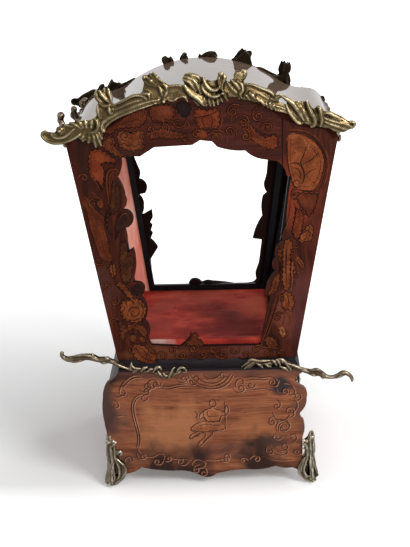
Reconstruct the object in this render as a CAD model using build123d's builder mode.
from build123d import *
from math import atan2, cos, degrees, radians, sin, tan
import os

# A tabletop display cabinet in the form of a sedan chair: a marquetry cabin that
# widens towards an arched roof, a bombe base on four feet, gilt-bronze mounts, and
# a hinged door in its front wall. Millimetres. +X is the chair's front, +Z is up,
# and the origin is on the floor under the middle of the cabinet.

# ---------------------------------------------------------------- driving sizes
BOARD = 8.0            # thickness of every wall board
CABIN_DEPTH = 250.0    # over the two window walls
WAIST_WIDTH = 248.0    # cabin width at its foot
ROOF_WIDTH = 356.0     # cabin width under the roof
WAIST_Z = 192.0        # underside of the cabin walls
EAVE_Z = 501.0         # lower tip of the roof's ear
CROWN_RISE = 68.0      # apex of the roof above the eave
ARCH_RISE = 35.0       # part of that rise in the middle arch
EAR = 26.0             # width of the rounded ear at each eave
HOLLOW = 42.0          # width of the concave sweep between ear and arch
ROOF_OVERHANG = 2.0    # roof past the window walls

FLOOR_BOARD = 14.5     # cabin floor
LINING = 1.5           # silk on its backing
BEAD_WIDTH = 9.0       # ebonised glazing bead
BEAD_DEPTH = 6.0
CRACK = 1.4            # open joint between the near top rail and front stile

BASE_TOP_Z = 177.0     # top of the bombe base
WAIST_FLARE = 9.0      # the waist moulding's lip past the cabin wall
FRONT_FLARE = 4.0      # the same at the front
WAIST_LIP = 3.5        # height of that lip
WAIST_REVEAL = 1.0     # cabin wall past the moulding's upper edge
APRON_Z = 18.0         # lower edge of the base
FOOT_HEIGHT = 90.0

POST_DEPTH = 34.0      # door posts, from the wall's outer face inwards
POST_WIDTH = 8.0
STOP_WIDTH = 5.0       # rebate that the door closes against
DOOR_GAP = 1.0         # running gap round the door
STOP_GAP = 0.3
KNUCKLE_GAP = 0.25
SILL_HEIGHT = 14.0
HEAD_HEIGHT = 14.0
HINGE_RADIUS = 2.5
PIN_RADIUS = 1.2
PIN_GAP = 0.1
LEAF = 1.2

FRIEZE_DEPTH = 11.0    # bronze mounts round the roof, to the crest of their relief
FRIEZE_BACK = 4.5      # their pierced ground
RIB_HEIGHT = 8.5       # scrolls, above the wall
SIDE_FRIEZE = 8.0
RELIEF_SLOPE = 12.0    # how far the flanks of a chased leaf lean in, degrees
POLE_RADIUS = 3.2
POLE_CLEAR = 2.0       # between a carrying pole and the waist moulding

# The carved outlines below were drawn on a cabinet of these sizes. They stretch with
# the cabinet, so that a window, mount or panel keeps its place on a larger one.
DRAWN_WAIST, DRAWN_ROOF = 124.0, 178.0          # half widths
DRAWN_WAIST_Z, DRAWN_EAVE_Z = 192.0, 501.0
DRAWN_CROWN, DRAWN_BASE_TOP = 68.0, 177.0
DRAWN_DEPTH = 250.0

# ------------------------------------------------------------- derived geometry
HALF_DEPTH = CABIN_DEPTH / 2
INNER_DEPTH = HALF_DEPTH - BOARD
HALF_WAIST = WAIST_WIDTH / 2
HALF_ROOF = ROOF_WIDTH / 2
ROOF_FACE = HALF_DEPTH + ROOF_OVERHANG
LEAN = atan2(HALF_ROOF - HALF_WAIST, EAVE_Z - WAIST_Z)
WALL_RUN = (EAVE_Z - WAIST_Z) / cos(LEAN)
FLOOR_Z = WAIST_Z + FLOOR_BOARD

ARCH_HALF = HALF_ROOF - EAR - HOLLOW
ARCH_ANGLE = 2 * atan2(ARCH_RISE, ARCH_HALF)
ARCH_RADIUS = ARCH_HALF / sin(ARCH_ANGLE)
HOLLOW_RADIUS = HOLLOW / sin(ARCH_ANGLE)
HOLLOW_DROP = HOLLOW_RADIUS * (1 - cos(ARCH_ANGLE))
EAR_DROP = CROWN_RISE - ARCH_RISE - HOLLOW_DROP
EAR_ANGLE = 2 * atan2(EAR_DROP, EAR)
EAR_RADIUS = EAR / sin(EAR_ANGLE)

os.makedirs("parts", exist_ok=True)


def save(name, part):
    """Label one finished piece and write its STEP file."""
    part.label = name
    export_step(part, f"parts/{name}.step")


def wall_x(z, inset=0.0):
    """Half width of the cabin at height z, measured inset inside its wall."""
    return HALF_WAIST + (z - WAIST_Z) * tan(LEAN) - inset / cos(LEAN)


def on_wall(x, z):
    """A point drawn on the window wall, moved with the wall's height and width."""
    drawn_half = DRAWN_WAIST + (z - DRAWN_WAIST_Z) * (DRAWN_ROOF - DRAWN_WAIST) / (DRAWN_EAVE_Z - DRAWN_WAIST_Z)
    new_z = WAIST_Z + (z - DRAWN_WAIST_Z) * (EAVE_Z - WAIST_Z) / (DRAWN_EAVE_Z - DRAWN_WAIST_Z)
    return x * wall_x(new_z) / drawn_half, new_z


def on_roof(x, z):
    """A point drawn over the roof's edge, moved with the roof's width and rise."""
    return x * HALF_ROOF / DRAWN_ROOF, EAVE_Z + (z - DRAWN_EAVE_Z) * CROWN_RISE / DRAWN_CROWN


def on_base(x, z):
    """A point drawn on the base, moved with its width and height."""
    return x * HALF_WAIST / DRAWN_WAIST, z * BASE_TOP_Z / DRAWN_BASE_TOP


def on_waist(x, z):
    """A point drawn beside the waist, moved with its width and with the base's top."""
    return x * HALF_WAIST / DRAWN_WAIST, z + BASE_TOP_Z - DRAWN_BASE_TOP


def roof_line(drop):
    """The roof's outline, left ear to right ear, drop below its outer face."""
    start = (-HALF_ROOF + drop * sin(EAR_ANGLE), EAVE_Z - drop * cos(EAR_ANGLE))
    turns = [
        (EAR_RADIUS - drop, -EAR_ANGLE),
        (HOLLOW_RADIUS + drop, ARCH_ANGLE),
        (ARCH_RADIUS - drop, -2 * ARCH_ANGLE),
        (HOLLOW_RADIUS + drop, ARCH_ANGLE),
        (EAR_RADIUS - drop, -EAR_ANGLE),
    ]
    heading = EAR_ANGLE
    first = start
    for radius, turn in turns:
        edge = JernArc(start, (cos(heading), sin(heading)), radius, degrees(turn))
        heading += turn
        start = edge @ 1
    return first, start


def wall_outline():
    """The cabin seen from the window side, up to the underside of the roof."""
    left, right = roof_line(BOARD)
    Polyline(right, (HALF_ROOF, EAVE_Z), (HALF_WAIST, WAIST_Z), (-HALF_WAIST, WAIST_Z), (-HALF_ROOF, EAVE_Z), left)


def arc_loop(rows, place=lambda x, z: (x, z)):
    """Closed outline from rows of (x, z, lobe); lobe bows the run that follows."""
    for (x, z, lobe), (next_x, next_z, _) in zip(rows, rows[1:] + rows[:1]):
        if lobe:
            SagittaArc(place(x, z), place(next_x, next_z), -lobe)
        else:
            Line(place(x, z), place(next_x, next_z))


# ------------------------------------------------------------ window-wall boards
# The opening, clockwise from its lower rear corner: x, z, and the lobe of the
# carved edge that follows (positive swells into the opening).
WINDOW = [
    (-76, 213, 0), (-81, 222, 5), (-84, 250, 7), (-90, 287, 8), (-90, 305, 0),
    (-98, 306, 4), (-95, 354, 0), (-106, 346, 3), (-105, 382, 0), (-98, 386, 6),
    (-101, 407, 0), (-108, 408, 4), (-103, 426, 2), (-112, 452, 3), (-106, 481, 0),
    (-81, 480, 0), (-62, 492, 0), (-12, 494, 0), (-2, 500, 0), (14, 498, 0),
    (20, 491, 2), (57, 485, 2), (79, 473, 0), (98, 470, -3), (111, 450, 0),
    (117, 449, 1), (110, 387, -3), (103, 367, 0), (106, 361, 5), (96, 336, 5),
    (96, 318, 4), (82, 285, 0), (89, 281, 1), (75, 214, -3), (66, 210, 0),
    (-8, 210, -3), (-21, 231, -3), (-37, 210, 0),
]
# The far wall was cut to its own scrolls, seen from the same side.
FAR_WINDOW = [
    (-86, 204, 0), (-88, 238, 0), (-89, 258, 0), (-77, 277, 1), (-88, 291, 0), (-84, 300, 0),
    (-87, 304, 0), (-84, 313, 0), (-88, 317, 0), (-83, 326, 0), (-84, 338, 0), (-102, 328, 2),
    (-96, 344, 3), (-104, 363, 0), (-93, 365, 7), (-102, 387, 2), (-101, 402, 0), (-108, 421, 2),
    (-112, 452, 3), (-106, 481, 0), (-81, 480, 0), (-62, 492, 0), (-12, 494, 0), (-2, 500, 0),
    (14, 498, 0), (20, 491, 2), (57, 485, 2), (79, 473, 0), (98, 464, -3), (96, 425, 0),
    (94, 400, -1), (89, 377, 2), (94, 362, 0), (87, 356, 2), (86, 324, 2), (71, 289, 0),
    (85, 287, 0), (80, 248, 0), (75, 234, 1), (76, 222, -2), (66, 215, 0), (50, 212, 1),
    (6, 219, 2), (-10, 217, 4), (-27, 222, 2), (-31, 208, 0),
]
# Where the boards meet: a joint above the opening, a point inside it, one below.
JOINT_TOP, JOINT_MID, JOINT_LOW = 106.0, 50.0, 76.0
REAR_JOINT_Z, FRONT_JOINT_Z, MID_Z, LOW_JOINT_Z = 481.0, 459.0, 345.0, 212.0
FAR_OUT = 700.0


def board_region(name):
    """Corner points of the part of the wall that one board covers."""
    joint_x = on_wall(JOINT_TOP, FRONT_JOINT_Z)[0]
    low_x = on_wall(JOINT_LOW, LOW_JOINT_Z)[0]
    below = [on_wall(JOINT_MID, MID_Z), on_wall(JOINT_LOW, LOW_JOINT_Z), (low_x, 0)]
    seam = [(joint_x, FAR_OUT), on_wall(JOINT_TOP, FRONT_JOINT_Z)] + below
    rear_x, rear_z = joint_x, on_wall(JOINT_TOP, REAR_JOINT_Z)[1]
    left = [(-rear_x, FAR_OUT), (-rear_x, rear_z)] + [(-x, z) for x, z in below]
    if name == "rear_stile":
        return left + [(-FAR_OUT, 0), (-FAR_OUT, FAR_OUT)]
    if name == "front_stile":
        return seam + [(FAR_OUT, 0), (FAR_OUT, FAR_OUT)]
    if name == "top_rail":
        return left[:3] + seam[2::-1]
    return left[2:] + seam[:1:-1]


def wall_board(name, window, crack=0.0):
    """One board of a window wall; crack opens its joint to the front stile."""
    with BuildPart() as board:
        with BuildSketch(Plane.XZ.offset(INNER_DEPTH)) as face:
            with BuildLine():
                wall_outline()
            make_face()
            with BuildLine():
                arc_loop(window, on_wall)
            make_face(mode=Mode.SUBTRACT)
            with BuildLine():
                Polyline(*board_region(name), close=True)
            make_face(mode=Mode.INTERSECT)
            if crack:
                with Locations(on_wall(JOINT_TOP, FRONT_JOINT_Z)):
                    Rectangle(crack, 2 * FAR_OUT, align=(Align.MAX, Align.CENTER), mode=Mode.SUBTRACT)
        extrude(amount=BOARD)
    return board.part


for piece in ("rear_stile", "front_stile", "top_rail", "bottom_rail"):
    save("near_" + piece, wall_board(piece, WINDOW, CRACK if piece == "top_rail" else 0.0))
    save("far_" + piece, mirror(wall_board(piece, FAR_WINDOW), about=Plane.XZ))

# Ebonised glazing beads: straight bars on the inner face of each window wall.
BEAD_LOW_Z = on_wall(0, 208)[1]
BEAD_TOP_X, BEAD_TOP_Z = on_wall(131.3, 512)
BEAD_LOW_X = wall_x(BEAD_LOW_Z, POST_DEPTH)
with BuildPart() as bead:
    with BuildSketch(Plane.XZ.offset(INNER_DEPTH - BEAD_DEPTH)):
        with BuildLine():
            Polyline((-BEAD_LOW_X, BEAD_LOW_Z), (-BEAD_TOP_X, BEAD_TOP_Z), (BEAD_TOP_X, BEAD_TOP_Z),
                     (BEAD_LOW_X, BEAD_LOW_Z), close=True)
        make_face()
        offset(amount=-BEAD_WIDTH, mode=Mode.SUBTRACT)
    extrude(amount=BEAD_DEPTH)
save("near_window_bead", bead.part)
save("far_window_bead", mirror(bead.part, about=Plane.XZ))

# ------------------------------------------------------------------- rear wall
with BuildPart() as rear_panel:
    with BuildSketch(Plane.XZ):
        with BuildLine():
            wall_outline()
        make_face()
        with BuildLine():
            Polyline((-wall_x(WAIST_Z, BOARD), WAIST_Z), (-wall_x(FAR_OUT, BOARD), FAR_OUT),
                     (FAR_OUT, FAR_OUT), (FAR_OUT, WAIST_Z), close=True)
        make_face(mode=Mode.SUBTRACT)
    extrude(amount=INNER_DEPTH, both=True)
save("rear_panel", rear_panel.part)

# Pink silk on the rear wall, returned onto the two rear stiles.
LINING_TOP_Z = BEAD_TOP_Z - 28.0
RETURN_X = BEAD_LOW_X + (LINING_TOP_Z - BEAD_LOW_Z) * (BEAD_TOP_X - BEAD_LOW_X) / (BEAD_TOP_Z - BEAD_LOW_Z)
with BuildPart() as rear_lining:
    with BuildSketch(Plane.XZ):
        with BuildLine():
            Polyline((-wall_x(FLOOR_Z, BOARD), FLOOR_Z), (-wall_x(LINING_TOP_Z, BOARD), LINING_TOP_Z),
                     (-wall_x(LINING_TOP_Z, BOARD) + LINING, LINING_TOP_Z),
                     (-wall_x(FLOOR_Z, BOARD) + LINING, FLOOR_Z), close=True)
        make_face()
    extrude(amount=INNER_DEPTH, both=True)
    with BuildSketch(Plane.XZ.offset(INNER_DEPTH - LINING)):
        with BuildLine():
            Polyline((-wall_x(FLOOR_Z, BOARD), FLOOR_Z), (-wall_x(LINING_TOP_Z, BOARD), LINING_TOP_Z),
                     (-RETURN_X, LINING_TOP_Z), (-BEAD_LOW_X, FLOOR_Z + LINING), (-BEAD_LOW_X, FLOOR_Z),
                     close=True)
        make_face()
    extrude(amount=LINING)
    mirror(about=Plane.XZ)
save("rear_lining", rear_lining.part)

# ------------------------------------------------------------------ cabin floor
DOOR_SIDE_X = wall_x(WAIST_Z, POST_DEPTH)
with BuildPart() as cabin_floor:
    with BuildSketch(Plane.XZ):
        with BuildLine():
            Polyline((-wall_x(WAIST_Z, BOARD), WAIST_Z), (-wall_x(FLOOR_Z, BOARD), FLOOR_Z),
                     (wall_x(FLOOR_Z, POST_DEPTH), FLOOR_Z), (DOOR_SIDE_X, WAIST_Z), close=True)
        make_face()
    extrude(amount=INNER_DEPTH, both=True)
save("cabin_floor", cabin_floor.part)

FLOOR_SHORT = 1.0
with BuildPart() as floor_lining:
    with BuildSketch(Plane.XY.offset(FLOOR_Z)):
        with BuildLine():
            back = -wall_x(FLOOR_Z, BOARD) + LINING + FLOOR_SHORT
            front = wall_x(FLOOR_Z, POST_DEPTH) - FLOOR_SHORT
            side = INNER_DEPTH - BEAD_DEPTH - FLOOR_SHORT
            Polyline((back, -side), (front, -side), (front, side), (back, side), close=True)
        make_face()
    extrude(amount=LINING)
save("floor_lining", floor_lining.part)

# ------------------------------------------------------- door frame in the front
# Sketches on this plane have Y to the right and the wall's slope upwards.
wall_plane = Plane(origin=(HALF_WAIST, 0, WAIST_Z), x_dir=(0, 1, 0), z_dir=(cos(LEAN), 0, -sin(LEAN)))
FRAME_TOP = (EAVE_Z - BOARD - WAIST_Z) / cos(LEAN)
PORTAL_HALF = INNER_DEPTH - POST_WIDTH
PORTAL_LOW = SILL_HEIGHT
PORTAL_TOP = FRAME_TOP - HEAD_HEIGHT


def upright(half_width, low, high):
    """Rectangle on the wall plane, centred across the cabinet."""
    with Locations((0, (low + high) / 2)):
        Rectangle(2 * half_width, high - low)


def upright_hole(half_width, low, high):
    with Locations((0, (low + high) / 2)):
        Rectangle(2 * half_width, high - low, mode=Mode.SUBTRACT)


DOOR_SEAT = BOARD + STOP_GAP
with BuildPart() as door_frame:
    with BuildSketch(wall_plane.offset(-DOOR_SEAT)):
        upright(INNER_DEPTH, 0, FRAME_TOP)
        upright_hole(PORTAL_HALF, PORTAL_LOW, PORTAL_TOP)
    extrude(amount=DOOR_SEAT)
    with BuildSketch(wall_plane.offset(-POST_DEPTH)):
        upright(INNER_DEPTH, 0, FRAME_TOP)
        upright_hole(PORTAL_HALF - STOP_WIDTH, PORTAL_LOW + STOP_WIDTH, PORTAL_TOP - STOP_WIDTH)
    extrude(amount=POST_DEPTH - DOOR_SEAT)
    with Locations((0, 0, WAIST_Z)):
        Box(FAR_OUT, FAR_OUT, 100, align=(Align.CENTER, Align.CENTER, Align.MAX), mode=Mode.SUBTRACT)
save("door_frame", door_frame.part)

# ------------------------------------------------------------------------ door
DOOR_HALF = PORTAL_HALF - DOOR_GAP
DOOR_LOW = PORTAL_LOW + DOOR_GAP
DOOR_TOP = PORTAL_TOP - DOOR_GAP
DOOR_RAIL = 30.0
DOOR_ARCH = 12.0
LIGHT_HALF = DOOR_HALF - DOOR_RAIL
LIGHT_LOW = DOOR_LOW + DOOR_RAIL
LIGHT_TOP = DOOR_TOP - DOOR_RAIL - DOOR_ARCH


def door_light(shrink=0.0):
    """The door's arched window, shrink inside its opening."""
    half, low, high = LIGHT_HALF - shrink, LIGHT_LOW + shrink, LIGHT_TOP - shrink
    with BuildSketch() as light:
        with BuildLine():
            Polyline((half, high), (half, low), (-half, low), (-half, high))
            ThreePointArc((-half, high), (0, high + DOOR_ARCH), (half, high))
        make_face()
    return light.sketch


with BuildPart() as door:
    with BuildSketch(wall_plane.offset(-BOARD)):
        upright(DOOR_HALF, DOOR_LOW, DOOR_TOP)
        add(door_light(), mode=Mode.SUBTRACT)
    extrude(amount=BOARD)
save("door", door.part)

DOOR_BEAD = 4.0
with BuildPart() as door_bead:
    with BuildSketch(wall_plane.offset(-BOARD)):
        add(door_light())
        add(door_light(DOOR_BEAD), mode=Mode.SUBTRACT)
    extrude(amount=BOARD - LEAF)
save("door_bead", door_bead.part)

# A flat keyhole plate on the door's free edge.
PLATE_RISE = 150.0
PLATE_WIDTH, PLATE_HEIGHT, PLATE_THICK = 12.0, 20.0, 1.2
KEYHOLE = 2.0
plate_place = Plane(wall_plane * Location((-DOOR_HALF + DOOR_RAIL / 2, PLATE_RISE, 0)))
with BuildPart() as door_escutcheon:
    with BuildSketch(plate_place):
        Ellipse(PLATE_WIDTH / 2, PLATE_HEIGHT / 2)
        with Locations((0, KEYHOLE)):
            RegularPolygon(KEYHOLE, 8, mode=Mode.SUBTRACT)
        with Locations((0, -KEYHOLE / 2)):
            Rectangle(KEYHOLE, 2.5 * KEYHOLE, mode=Mode.SUBTRACT)
    extrude(amount=PLATE_THICK)
save("door_escutcheon", door_escutcheon.part)

# Two butt hinges on the far post: fixed outer knuckles with their pin, and the
# door's leaf with the middle knuckle.
HINGE_X = PORTAL_HALF - DOOR_GAP / 2
HINGE_OUT = HINGE_RADIUS + 0.5
HINGE_RISES = (60.0, 240.0)
KNUCKLE = 8.0
LEAF_WIDTH = 12.0


def knuckle(rise, radius, length=KNUCKLE, mode=Mode.ADD):
    """Cylinder on the hinge line, centred at one height up the wall."""
    with Locations(wall_plane * Location((HINGE_X, rise, HINGE_OUT), (-90, 0, 0))):
        Cylinder(radius, length, mode=mode)


def leaf(rise, side, near_edge, far_edge, height, thickness=LEAF):
    """Flat plate beside the hinge line, onto the door (side -1) or the post (side 1)."""
    middle = HINGE_X + side * (near_edge + far_edge) / 2
    with Locations(wall_plane * Location((middle, rise, thickness / 2))):
        Box(far_edge - near_edge, height, thickness)


LEAF_START = DOOR_GAP / 2
NECK = HINGE_RADIUS - LEAF_START
with BuildPart() as hinge_posts:
    for rise in HINGE_RISES:
        for end in (-1, 1):
            knuckle(rise + end * KNUCKLE, HINGE_RADIUS)
            leaf(rise + end * KNUCKLE, 1, LEAF_START, HINGE_RADIUS, KNUCKLE, HINGE_OUT)
        leaf(rise, 1, HINGE_RADIUS, LEAF_WIDTH, 3 * KNUCKLE)
        knuckle(rise, PIN_RADIUS, 2 * KNUCKLE)
save("hinge_posts", hinge_posts.part)

with BuildPart() as hinge_leaves:
    for rise in HINGE_RISES:
        knuckle(rise, HINGE_RADIUS, KNUCKLE - 2 * KNUCKLE_GAP)
        leaf(rise, -1, LEAF_START, LEAF_WIDTH, KNUCKLE - 2 * KNUCKLE_GAP)
        leaf(rise, -1, LEAF_START, HINGE_RADIUS, KNUCKLE - 2 * KNUCKLE_GAP, HINGE_OUT)
        knuckle(rise, PIN_RADIUS + PIN_GAP, 2 * KNUCKLE, mode=Mode.SUBTRACT)
save("hinge_leaves", hinge_leaves.part)

# ------------------------------------------------------------------------ roof
with BuildPart() as roof:
    with BuildSketch(Plane.XZ):
        with BuildLine():
            left, right = roof_line(0)
            under_left, under_right = roof_line(BOARD)
            Line(left, under_left)
            Line(right, under_right)
        make_face()
    extrude(amount=ROOF_FACE, both=True)
save("roof", roof.part)

# --------------------------------------------------------------- bronze ornament
def blade(root, tip, width):
    """Lens-shaped outline of a chased leaf, from its root to its tip."""
    with BuildSketch() as outline:
        with BuildLine():
            SagittaArc(root, tip, width / 2)
            SagittaArc(tip, root, width / 2)
        make_face()
    return outline.sketch


def thorn(root, tip, width):
    """Kite-shaped outline of a small leaf, widest at its shoulder."""
    root, tip = Vector(*root), Vector(*tip)
    shoulder = root + (tip - root) * SHOULDER
    side = (tip - root).rotate(Axis.Z, 90).normalized() * (width / 2)
    with BuildSketch() as outline:
        with BuildLine():
            Polyline(root + side / 2, shoulder + side, tip, shoulder - side, root - side / 2, close=True)
        make_face()
    return outline.sketch


def scroll(start, middle, end, width):
    """A C-scroll: a rib along an arc through three points, a volute at each end."""
    with BuildSketch() as outline:
        spine = Edge.make_three_point_arc(start, middle, end)
        SlotArc(spine, width)
        with Locations(spine @ 0, spine @ 1):
            RegularPolygon(VOLUTE * width, 8)
    return outline.sketch


VOLUTE = 0.85          # radius of a volute, in widths of its rib
SHOULDER = 0.45        # where a small leaf is widest, along its length


def relief(plane, shape, leaves, ribs, leaf_height, rib_height, place):
    """Leaves with sloping flanks and flat-topped ribs, standing on one plane."""
    with BuildPart() as work:
        for x0, z0, x1, z1, width in leaves:
            with BuildSketch(plane):
                add(shape(place(x0, z0), place(x1, z1), width))
            extrude(amount=leaf_height, taper=RELIEF_SLOPE)
        for start, middle, end, width in ribs:
            with BuildSketch(plane):
                add(scroll(place(*start), place(*middle), place(*end), width))
            extrude(amount=rib_height)
    return work.part


# Ground of the near mount, clockwise from the rear tip: x, z, lobe (positive
# swells inwards, as on the window edge).
FRIEZE = [
    (-207, 513, -2), (-200, 520, 0), (-185, 524, -3), (-160, 534, -4), (-130, 544, 0), (-128, 570, -5),
    (-104, 566, 0), (-92, 556, -5), (-70, 568, 0), (-63, 589, -5), (-42, 572, 0),
    (-22, 572, 0), (-10, 587, -3), (18, 588, -3), (39, 581, -3), (60, 575, -3),
    (90, 562, -2), (113, 551, -5), (140, 552, -4), (160, 540, -3), (186, 529, -3),
    (201, 514, -3), (178, 505, 2), (154, 515, 3), (135, 520, 3), (115, 536, -3),
    (90, 544, -3), (62, 552, -3), (40, 555, 4), (12, 547, -5), (-20, 556, 3),
    (-39, 555, -3), (-91, 544, -3), (-127, 524, 0), (-131, 513, 3), (-158, 505, 3),
    (-178, 500, -2), (-202, 503, -3),
]
# Its leaves, root to tip (x, z, x, z, width): the rear ear, the drops behind it, the
# folded leaf, the volute, the middle cartouche, three tongues and the front ear.
FRIEZE_LEAVES = [
    (-168, 513, -209, 514, 11), (-164, 507, -202, 504, 8), (-160, 516, -194, 521, 8),
    (-150, 521, -179, 532, 9), (-149, 535, -163, 505, 9), (-142, 536, -150, 502, 9),
    (-135, 534, -139, 494, 9), (-127, 530, -135, 571, 9), (-122, 530, -118, 572, 9),
    (-90, 549, -62, 592, 13), (-92, 548, -79, 577, 9), (-22, 562, -9, 588, 12),
    (6, 560, 4, 543, 9),
    (25, 562, 33, 588, 8), (35, 557, 49, 593, 14), (107, 554, 124, 520, 10),
    (122, 552, 132, 516, 10), (138, 551, 147, 517, 10), (150, 537, 189, 508, 13),
    (165, 530, 200, 514, 9),
]
# Its scrolls (start, middle, end, width).
FRIEZE_RIBS = [
    ((-203, 514), (-187, 502), (-168, 508), 4), ((-132, 514), (-121, 528), (-92, 543), 5),
    ((-92, 544), (-80, 550), (-46, 555), 4), ((-113, 555), (-97, 556), (-80, 562), 4),
    ((-46, 574), (-32, 573), (-20, 572), 4), ((-19, 574), (-11, 556), (5, 548), 5),
    ((2, 583), (13, 567), (26, 580), 4), ((52, 555), (82, 548), (112, 535), 5),
    ((55, 574), (86, 565), (110, 550), 4),
]
roof_face_plane = Plane.XZ.offset(ROOF_FACE)
with BuildPart() as near_frieze:
    with BuildSketch(roof_face_plane):
        with BuildLine():
            arc_loop(FRIEZE, on_roof)
        make_face()
    extrude(amount=FRIEZE_BACK)
    add(relief(roof_face_plane, blade, FRIEZE_LEAVES, FRIEZE_RIBS, FRIEZE_DEPTH, RIB_HEIGHT, on_roof))
save("near_frieze", near_frieze.part)

# The far mount is the same casting turned about. It sits lower on the roof's edge, so
# that only its leaf tips stand over it, and a sprig has been added at its front ear.
FAR_SINK = 12.0
SPRIG = (-171, 518, -178, 546, 6)
with BuildPart() as far_frieze:
    add(near_frieze.part)
    add(relief(roof_face_plane, thorn, [SPRIG], [], FRIEZE_BACK, FRIEZE_BACK, on_roof))
save("far_frieze", Pos(0, 0, -FAR_SINK) * far_frieze.part.rotate(Axis.Z, 180))

# The end mounts cover the joint between the roof's ears and the end walls. Rows are y
# and the height up the slope of the end wall, past its top edge.
END_BACK, END_HALF = 3.0, 116.0
END_DROP, END_RISE = 12.0, 1.0
END_LEAVES = [
    (66, -6, 78, 12, 9), (44, -6, 34, 9, 9), (10, -4, 20, 12, 10), (-10, -4, -20, 12, 10),
    (-44, -6, -34, 9, 9), (-66, -6, -78, 12, 9), (88, -5, 118, -1, 10), (-88, -5, -118, -1, 10),
]
END_RIBS = [
    ((-96, -6), (-56, 1), (-14, -6), 5), ((14, -6), (56, 1), (96, -6), 5),
    ((-20, -3), (0, -10), (20, -3), 5),
]
# Sprigs that stand over the rear mount: y, then root and tip out of the roof's ear.
SPRIG_THICK, SPRIG_WIDTH = 7.0, 6.0
REAR_SPRIGS = [(-96, -3, -6, 13, 34), (12, -3, -4, 5, 24), (108, -3, -4, 3, 15)]


def on_end(y, rise):
    """A point drawn on the end wall's top edge, moved with its depth and slope."""
    return y * CABIN_DEPTH / DRAWN_DEPTH, WALL_RUN + rise


def end_mount():
    """Mount on the front end of the roof."""
    with BuildPart() as mount:
        with BuildSketch(wall_plane):
            with Locations(on_end(0, END_RISE)):
                Rectangle(2 * on_end(END_HALF, 0)[0], END_RISE + END_DROP, align=(Align.CENTER, Align.MAX))
        extrude(amount=END_BACK)
        add(relief(wall_plane, thorn, END_LEAVES, END_RIBS, SIDE_FRIEZE, SIDE_FRIEZE, on_end))
        add(roof.part, mode=Mode.SUBTRACT)
    return mount.part


save("front_frieze", end_mount())
with BuildPart() as rear_frieze:
    add(end_mount())
    for y, root_x, root_z, tip_x, tip_z in REAR_SPRIGS:
        with BuildSketch(Plane.XZ.offset(-on_end(y, 0)[0] - SPRIG_WIDTH / 2)):
            add(blade((HALF_ROOF + root_x, EAVE_Z + root_z), (HALF_ROOF + tip_x, EAVE_Z + tip_z), SPRIG_THICK))
        extrude(amount=SPRIG_WIDTH)
    add(roof.part, mode=Mode.SUBTRACT)
    with BuildSketch(wall_plane):
        Rectangle(CABIN_DEPTH, FAR_OUT)
    extrude(amount=-FAR_OUT, mode=Mode.SUBTRACT)
    mirror(about=Plane.YZ, mode=Mode.REPLACE)
save("rear_frieze", rear_frieze.part)

# -------------------------------------------------------------- waist and base
# The waist moulding flares from under the cabin to the base. Its section, half of the
# width over its upper edge and its lip, is cut both ways and mitres at the corners.
COVE_TOP_Y = HALF_DEPTH - WAIST_REVEAL
COVE_TOP_X = HALF_WAIST - WAIST_REVEAL
LIP_Y = HALF_DEPTH + WAIST_FLARE
LIP_X = HALF_WAIST + FRONT_FLARE
COVE_WALL = 20.0
LIP_TOP_Z = BASE_TOP_Z + WAIST_LIP
near_section = Plane(origin=(0, 0, 0), x_dir=(0, -1, 0), z_dir=(-1, 0, 0))


def cavetto(plane, left, right):
    """The moulding's section from left to right, each (edge above, lip below)."""
    with BuildPart() as run:
        with BuildSketch(plane):
            with BuildLine():
                for edge, lip in (left, right):
                    if lip == edge:
                        Line((edge, WAIST_Z), (edge, BASE_TOP_Z))
                    else:
                        middle = (edge + COVE_HOLLOW * (lip - edge), LIP_TOP_Z + COVE_HOLLOW * (WAIST_Z - LIP_TOP_Z))
                        ThreePointArc((edge, WAIST_Z), middle, (lip, LIP_TOP_Z))
                        Line((lip, LIP_TOP_Z), (lip, BASE_TOP_Z))
                Line((left[0], WAIST_Z), (right[0], WAIST_Z))
                Line((left[1], BASE_TOP_Z), (right[1], BASE_TOP_Z))
            make_face()
        extrude(amount=FAR_OUT, both=True)
    return run.part


COVE_HOLLOW = 0.29     # how deep the cavetto's quarter round is cut
with BuildPart() as waist_cove:
    add(cavetto(near_section, (-COVE_TOP_Y, -LIP_Y), (COVE_TOP_Y, LIP_Y)))
    add(cavetto(Plane.XZ, (-COVE_TOP_X, -COVE_TOP_X), (COVE_TOP_X, LIP_X)), mode=Mode.INTERSECT)
    with Locations((0, 0, BASE_TOP_Z)):
        Box(2 * (COVE_TOP_X - COVE_WALL), 2 * (COVE_TOP_Y - COVE_WALL), WAIST_Z,
            align=(Align.CENTER, Align.CENTER, Align.MIN), mode=Mode.SUBTRACT)
save("waist_cove", waist_cove.part)

# Bombe section of the base: outwards reach at the top, the belly and the foot.
BELLY_Z = 0.7 * BASE_TOP_Z
LOW_Z = 0.4 * BASE_TOP_Z
SIDE_REACH = (LIP_Y, LIP_Y + 6, LIP_Y, LIP_Y - 2)
REAR_REACH = (COVE_TOP_X, COVE_TOP_X + 23, COVE_TOP_X + 18, COVE_TOP_X + 13)
FRONT_REACH = (COVE_TOP_X, COVE_TOP_X - 5, COVE_TOP_X - 1, COVE_TOP_X + 6)


def belly_line(reach):
    """Outer section of a base wall from its top edge to its apron, as two arcs."""
    top, belly, neck, toe = reach
    ThreePointArc((top, BASE_TOP_Z), (belly, BELLY_Z), (neck, LOW_Z))
    ThreePointArc((neck, LOW_Z), ((neck + toe) / 2 - 1, (LOW_Z + APRON_Z) / 2), (toe, APRON_Z - 10))
    return (top, BASE_TOP_Z), (toe, APRON_Z - 10)


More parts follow.
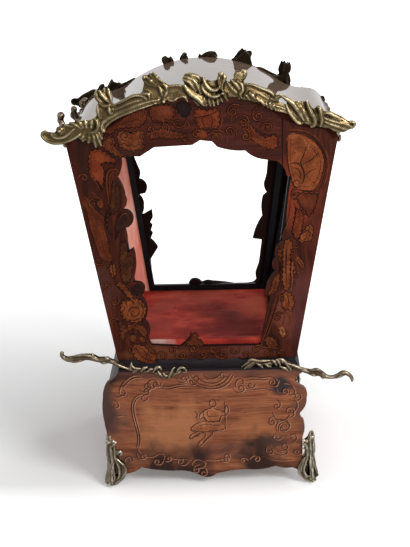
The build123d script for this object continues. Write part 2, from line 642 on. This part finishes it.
def belly_strip(reach, plane, wall=BOARD):
    """A long base wall: the bombe section one board thick, run along the wall."""
    with BuildPart() as strip:
        with BuildSketch(plane):
            with BuildLine():
                top, toe = belly_line(reach)
                inner_top, inner_toe = belly_line([r - wall for r in reach])
                Line(top, inner_top)
                Line(toe, inner_toe)
            make_face()
        extrude(amount=FAR_OUT, both=True)
    return strip.part


# Near panel outline, clockwise from its upper rear corner (lobe positive inwards).
PANEL = [
    (-124, 177, 0), (133, 177, -1), (132, 173, 2), (120, 159, 0), (129, 153, -4), (137, 137, -3),
    (128, 114, 2), (133, 101, -2), (132, 75, 0), (132, 18, 0), (117, 24, -2), (94, 27, -2), (57, 22, 2),
    (9, 16, -4), (-14, 14, 2), (-43, 22, -2), (-97, 28, -2), (-121, 18, 0), (-137, 18, 0), (-142, 70, 0),
    (-145, 100, -2), (-146, 143, -2), (-139, 163, 2),
]
with BuildPart() as near_base_panel:
    add(belly_strip(SIDE_REACH, near_section))
    with BuildSketch(Plane.XZ):
        with BuildLine():
            arc_loop(PANEL, on_base)
        make_face()
    extrude(amount=FAR_OUT, both=True, mode=Mode.INTERSECT)
save("near_base_panel", near_base_panel.part)
save("far_base_panel", mirror(near_base_panel.part, about=Plane.XZ))

END_APRON = [(-130, 200, 0), (130, 200, 0), (130, 20, 3), (60, 24, 0), (20, 16, 0), (-20, 16, 0), (-60, 24, 3), (-130, 20, 0)]


def between(reach, plane, inset=0.0, low_z=APRON_Z):
    """Everything between two opposite base walls, inset inside their outer faces."""
    with BuildPart() as space:
        with BuildSketch(plane):
            with BuildLine():
                top, toe = belly_line([r - inset for r in reach])
                Polyline(top, (0, BASE_TOP_Z), (0, APRON_Z - 10), toe)
            make_face()
        extrude(amount=FAR_OUT, both=True)
    return space.part


def slab(low, high):
    """A slab of everything between two heights."""
    return Pos(0, 0, low) * Box(FAR_OUT, FAR_OUT, high - low, align=(Align.CENTER, Align.CENTER, Align.MIN))


# Half spaces between the walls: the window-side pair is alike, front and rear differ.
near_half = between(SIDE_REACH, near_section, BOARD)
sides_inner = near_half + mirror(near_half, about=Plane.XZ)
near_full = between(SIDE_REACH, near_section)
sides_outer = near_full + mirror(near_full, about=Plane.XZ)
ends_inner = (between(FRONT_REACH, Plane.XZ, BOARD)
              + mirror(between(REAR_REACH, Plane.XZ, BOARD), about=Plane.YZ))
ends_outer = between(FRONT_REACH, Plane.XZ) + mirror(between(REAR_REACH, Plane.XZ), about=Plane.YZ)

for name, reach in (("rear_base_panel", REAR_REACH), ("front_base_panel", FRONT_REACH)):
    with BuildPart() as panel:
        add(belly_strip(reach, Plane.XZ))
        with BuildSketch(Plane(origin=(0, 0, 0), x_dir=(0, 1, 0), z_dir=(1, 0, 0))):
            with BuildLine():
                arc_loop(END_APRON, lambda y, z: (y * CABIN_DEPTH / DRAWN_DEPTH, z))
            make_face()
        extrude(amount=FAR_OUT, mode=Mode.INTERSECT)
        add(sides_inner, mode=Mode.INTERSECT)
    save(name, mirror(panel.part, about=Plane.YZ) if name.startswith("rear") else panel.part)

BASE_FLOOR_Z = 34.0
with BuildPart() as base_floor:
    add(slab(BASE_FLOOR_Z, BASE_FLOOR_Z + BOARD))
    add(sides_inner, mode=Mode.INTERSECT)
    add(ends_inner, mode=Mode.INTERSECT)
save("base_floor", base_floor.part)

# --------------------------------------------------------------- bronze feet
# A corner foot: distance past its reach, z, lobe (positive outwards). A leaf climbs the
# corner to a knob and a spur; below, it rolls into an open scroll and a small sole.
FOOT = [
    (-12, 0, 0), (0, 0, 0), (8, 7, 0), (9, 14, 0), (3, 26, -3), (-1, 44, 0), (-1, 66, 0), (3, 74, 0),
    (-1, 80, 0), (-2, FOOT_HEIGHT, 0), (-5, 80, 0), (-7, 76, 0), (-12, 73, -1), (-11, 56, 0),
    (-19, 36, 3), (-20, 24, 0), (-14, 10, 0),
]
# The same foot seen from the front or rear: its sole stands further in.
FOOT_END = [
    (-18, 0, 0), (-8, 0, 0), (0, 8, 0), (3, 15, 0), (1, 26, -2), (-1, 44, 0), (-1, 66, 0), (3, 74, 0),
    (-1, 80, 0), (-2, FOOT_HEIGHT, 0), (-7, 80, 0), (-10, 74, 0), (-14, 62, 0), (-20, 36, 0), (-20, 12, 0),
]
FOOT_STAND = 14.0       # the foot's leaf past the cabin's window wall
FRONT_STAND, REAR_STAND = 20.0, 17.0
FOOT_Y = HALF_DEPTH + FOOT_STAND
FOOT_EYE = (-9, 23)     # centre of the open scroll
FOOT_EYE_RADIUS = 5.0


def foot_outline(rows, reach):
    """A foot's outline with its open scroll, reach from the cabinet's middle."""
    with BuildSketch() as outline:
        with BuildLine():
            arc_loop([(reach + x, z, lobe) for x, z, lobe in rows])
        make_face()
        with Locations((reach + FOOT_EYE[0], FOOT_EYE[1])):
            RegularPolygon(FOOT_EYE_RADIUS, 8, mode=Mode.SUBTRACT)
    return outline.sketch


def foot(side, stand):
    """Sabot on the near corner at the front (side 1) or the rear (side -1)."""
    with BuildPart() as sabot:
        with BuildSketch(Plane.XZ):
            add(foot_outline(FOOT, HALF_WAIST + stand))
        extrude(amount=FAR_OUT)
        with BuildSketch(near_section):
            add(foot_outline(FOOT_END, FOOT_Y))
        extrude(amount=-FAR_OUT, mode=Mode.INTERSECT)
        if side < 0:
            mirror(about=Plane.YZ, mode=Mode.REPLACE)
        add(core, mode=Mode.SUBTRACT)
        add(near_base_panel.part, mode=Mode.SUBTRACT)
    return sabot.part


with BuildPart() as core_space:
    add(slab(APRON_Z, BASE_TOP_Z))
    add(sides_outer, mode=Mode.INTERSECT)
    add(ends_outer, mode=Mode.INTERSECT)
core = core_space.part
for name, side, stand in (("rear_foot", -1, REAR_STAND), ("front_foot", 1, FRONT_STAND)):
    sabot = foot(side, stand)
    save("near_" + name, sabot)
    save("far_" + name, mirror(sabot, about=Plane.XZ))

# --------------------------------------------------------- bronze carrying poles
# A six-sided stem with leaves and thorns in its own upright plane, and two bosses that
# hold it off the waist moulding. Rows are x, z; leaves are root, tip and width. Only the
# near side still has its poles; the far pair is lost.
POLE_Y = -(LIP_Y + POLE_CLEAR + POLE_RADIUS)
POLE_BEND = 12.0
POLES = {
    "rear_pole": [(-32, 177), (-60, 174), (-93, 178), (-125, 187), (-152, 195), (-180, 198), (-196, 202)],
    "front_pole": [(50, 178), (66, 184), (98, 185), (125, 177), (155, 168), (180, 167), (197, 158)],
}
POLE_LEAVES = {
    "rear_pole": [
        (-184, 198, -202, 205, 8), (-170, 197, -160, 206, 6), (-152, 194, -136, 197, 10),
        (-119, 184, -105, 191, 6), (-106, 180, -93, 186, 8), (-92, 178, -79, 185, 7),
        (-76, 176, -64, 183, 7), (-68, 174, -56, 167, 8), (-55, 174, -45, 182, 7),
        (-45, 174, -36, 182, 6), (-46, 176, -28, 174, 8),
    ],
    "front_pole": [
        (62, 182, 45, 176, 9), (66, 182, 57, 190, 7), (70, 184, 75, 174, 7), (82, 185, 99, 188, 9),
        (97, 187, 108, 172, 6), (134, 175, 152, 169, 9), (152, 170, 148, 160, 6),
        (158, 168, 176, 169, 9), (174, 167, 190, 165, 7), (184, 166, 203, 155, 7),
    ],
}
POLE_LEAF = 5.0        # thickness of the leaves
BOSSES = {"rear_pole": [(-60, 175), (-118, 185)], "front_pole": [(66, 184), (118, 179)]}
BOSS = 7.0
pole_plane = Plane.XZ.offset(-POLE_Y - POLE_LEAF / 2)
for name, route in POLES.items():
    with BuildPart() as pole:
        with BuildLine() as line:
            stations = [on_waist(x, z) for x, z in route]
            FilletPolyline(*[(x, POLE_Y, z) for x, z in stations], radius=POLE_BEND)
        with BuildSketch(Plane(line.line @ 0, z_dir=line.line % 0)):
            RegularPolygon(POLE_RADIUS, 6)
        sweep()
        for x0, z0, x1, z1, width in POLE_LEAVES[name]:
            with BuildSketch(pole_plane):
                add(thorn(on_waist(x0, z0), on_waist(x1, z1), width))
            extrude(amount=POLE_LEAF)
        for drawn_x, drawn_z in BOSSES[name]:
            x, z = on_waist(drawn_x, drawn_z)
            with Locations((x, POLE_Y, z)):
                Box(BOSS, -POLE_Y - COVE_TOP_Y, BOSS, align=(Align.CENTER, Align.MIN, Align.CENTER))
        add(waist_cove.part, mode=Mode.SUBTRACT)
        add(core, mode=Mode.SUBTRACT)
    save("near_" + name, pole.part)
